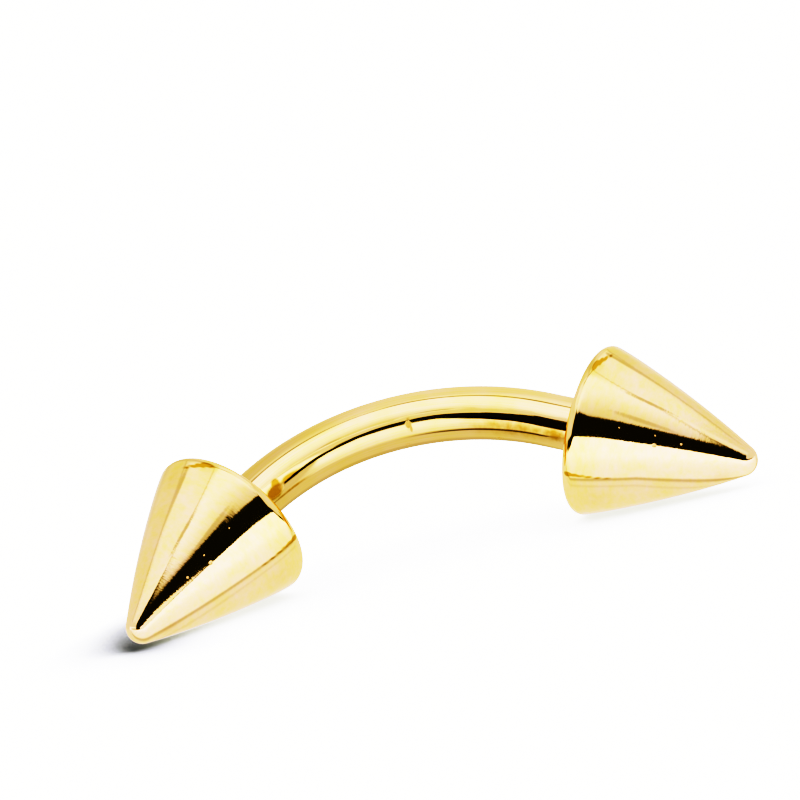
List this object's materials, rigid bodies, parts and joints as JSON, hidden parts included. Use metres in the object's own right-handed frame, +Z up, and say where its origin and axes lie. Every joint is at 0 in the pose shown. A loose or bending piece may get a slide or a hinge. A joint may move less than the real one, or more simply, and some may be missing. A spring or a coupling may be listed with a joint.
{
  "type": "eyebrow barbell",
  "caption": "Curved eyebrow barbell in polished gold-coloured steel, with a screw-on spike at each end, lying on a table.",
  "frame": {"origin": "middle of the footprint, at table height", "axes": "+Z up from the table, +X from the left spike to the right spike, -Y towards the side that the spikes' tips lean to"},
  "size_m": [0.0144, 0.004, 0.0036],
  "materials": {
    "bar_gold": "polished gold plating over surgical steel, faint lengthwise drawing marks",
    "spike_gold": "polished gold plating over surgical steel, faint turning marks round the cone"
  },
  "bodies": {
    "bar": {"bar": "bar_gold"},
    "spike_left": {"spike_left": "spike_gold"},
    "spike_right": {"spike_right": "spike_gold"}
  },
  "joints": [
    {"name": "spike_left_unscrew", "type": "slide", "parent": "bar", "child": "spike_left", "axis": [-0.7472, -0.5203, -0.4136], "range_m": [0, 0.002]},
    {"name": "spike_right_unscrew", "type": "slide", "parent": "bar", "child": "spike_right", "axis": [0.8276, -0.436, -0.3535], "range_m": [0, 0.002]}
  ]
}
